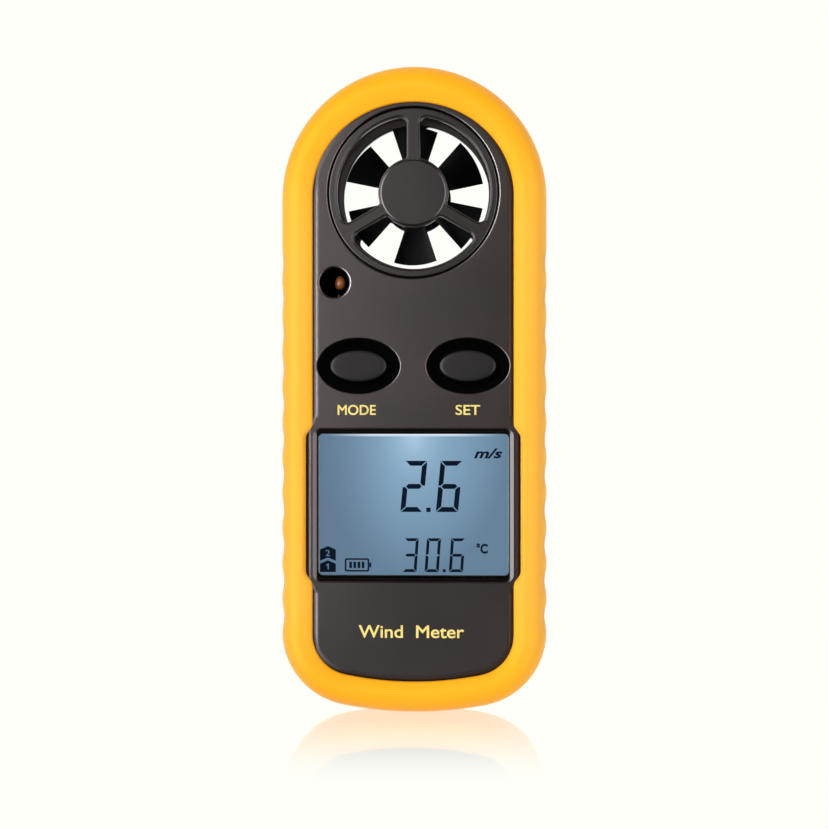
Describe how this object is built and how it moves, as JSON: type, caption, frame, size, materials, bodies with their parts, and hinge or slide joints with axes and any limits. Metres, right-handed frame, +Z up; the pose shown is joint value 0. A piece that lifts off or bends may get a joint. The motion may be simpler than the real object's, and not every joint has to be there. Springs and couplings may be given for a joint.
{
  "type": "handheld weather meter",
  "caption": "Pocket vane anemometer with a guarded fan, a temperature bead, a display and two push buttons, held in a stretch-on rubber holster.",
  "frame": {"origin": "Bottom centre of the holster's bounding box: half way across its width and its thickness, at the lowest point of its rounded bottom.", "axes": "+Z runs up the meter towards the fan, -Y points out of the face with the display, and +X is to the right for someone reading the display."},
  "size_m": [0.046, 0.019, 0.112],
  "materials": {
    "holster_rubber": "satin yellow silicone rubber",
    "casing_plastic": "fine satin grain, black",
    "guard_plastic": "fine satin grain, black",
    "button_plastic": "smooth satin, black",
    "vane_plastic": "plain moulded, black",
    "window_clear": "clear polished acrylic",
    "lcd_panel": "blue-grey backlit display glass",
    "tape_black": "black double-sided tape",
    "frame_grey": "light grey moulded",
    "guide_white": "milky acrylic",
    "led_white": "white package",
    "strip_rubber": "grey conductive silicone",
    "board_laminate": "green solder mask over glass laminate",
    "chip_black": "black moulding compound",
    "cable_black": "thin black sleeving",
    "capacitor_ceramic": "tan ceramic",
    "bead_glass": "amber epoxy over a glass bead",
    "plated_steel": "nickel-plated steel",
    "cell_steel": "stainless coin cell",
    "bearing_brass": "bright brass",
    "magnet_ferrite": "dark sintered ferrite",
    "label_film": "blank silver film"
  },
  "bodies": {
    "meter": {"holster": "holster_rubber", "front_casing": "casing_plastic", "rear_casing": "casing_plastic", "rating_label": "label_film", "case_screw_upper_left": "plated_steel", "case_screw_upper_right": "plated_steel", "case_screw_lower_left": "plated_steel", "case_screw_lower_right": "plated_steel", "front_guard": "guard_plastic", "rear_guard": "guard_plastic", "duct_tube": "casing_plastic", "front_bearing": "bearing_brass", "rear_bearing": "bearing_brass", "rotation_sensor": "chip_black", "sensor_lead": "cable_black", "display_window": "window_clear", "window_tape": "tape_black", "lcd_glass": "lcd_panel", "lcd_frame": "frame_grey", "backlight_guide": "guide_white", "backlight_led": "led_white", "lcd_connector_strip": "strip_rubber", "mode_switch": "plated_steel", "set_switch": "plated_steel", "circuit_board": "board_laminate", "controller_chip": "chip_black", "crystal_can": "plated_steel", "chip_capacitor": "capacitor_ceramic", "board_screw_upper": "plated_steel", "board_screw_lower": "plated_steel", "thermistor_bead": "bead_glass", "thermistor_lead_left": "plated_steel", "thermistor_lead_right": "plated_steel", "coin_cell": "cell_steel", "battery_contact_negative": "bearing_brass", "battery_contact_positive": "bearing_brass"},
    "fan": {"impeller": "vane_plastic", "impeller_shaft": "plated_steel", "impeller_magnet": "magnet_ferrite"},
    "mode_key": {"mode_button": "button_plastic", "mode_switch_plunger": "chip_black"},
    "set_key": {"set_button": "button_plastic", "set_switch_plunger": "chip_black"},
    "cap": {"battery_cap": "casing_plastic"}
  },
  "joints": [
    {"name": "impeller_spin", "type": "hinge", "parent": "meter", "child": "fan", "pos_m": [0, 0, 0.0899], "axis": [0, 1, 0], "continuous": true},
    {"name": "mode_button_press", "type": "slide", "parent": "meter", "child": "mode_key", "axis": [0, 1, 0], "range_m": [0, 0.0006], "stiffness_N_per_m": 10},
    {"name": "set_button_press", "type": "slide", "parent": "meter", "child": "set_key", "axis": [0, 1, 0], "range_m": [0, 0.0006], "stiffness_N_per_m": 10},
    {"name": "battery_cap_turn", "type": "hinge", "parent": "meter", "child": "cap", "pos_m": [0, 0.0063, 0.021], "axis": [0, 1, 0], "range_deg": [0, 45]}
  ]
}
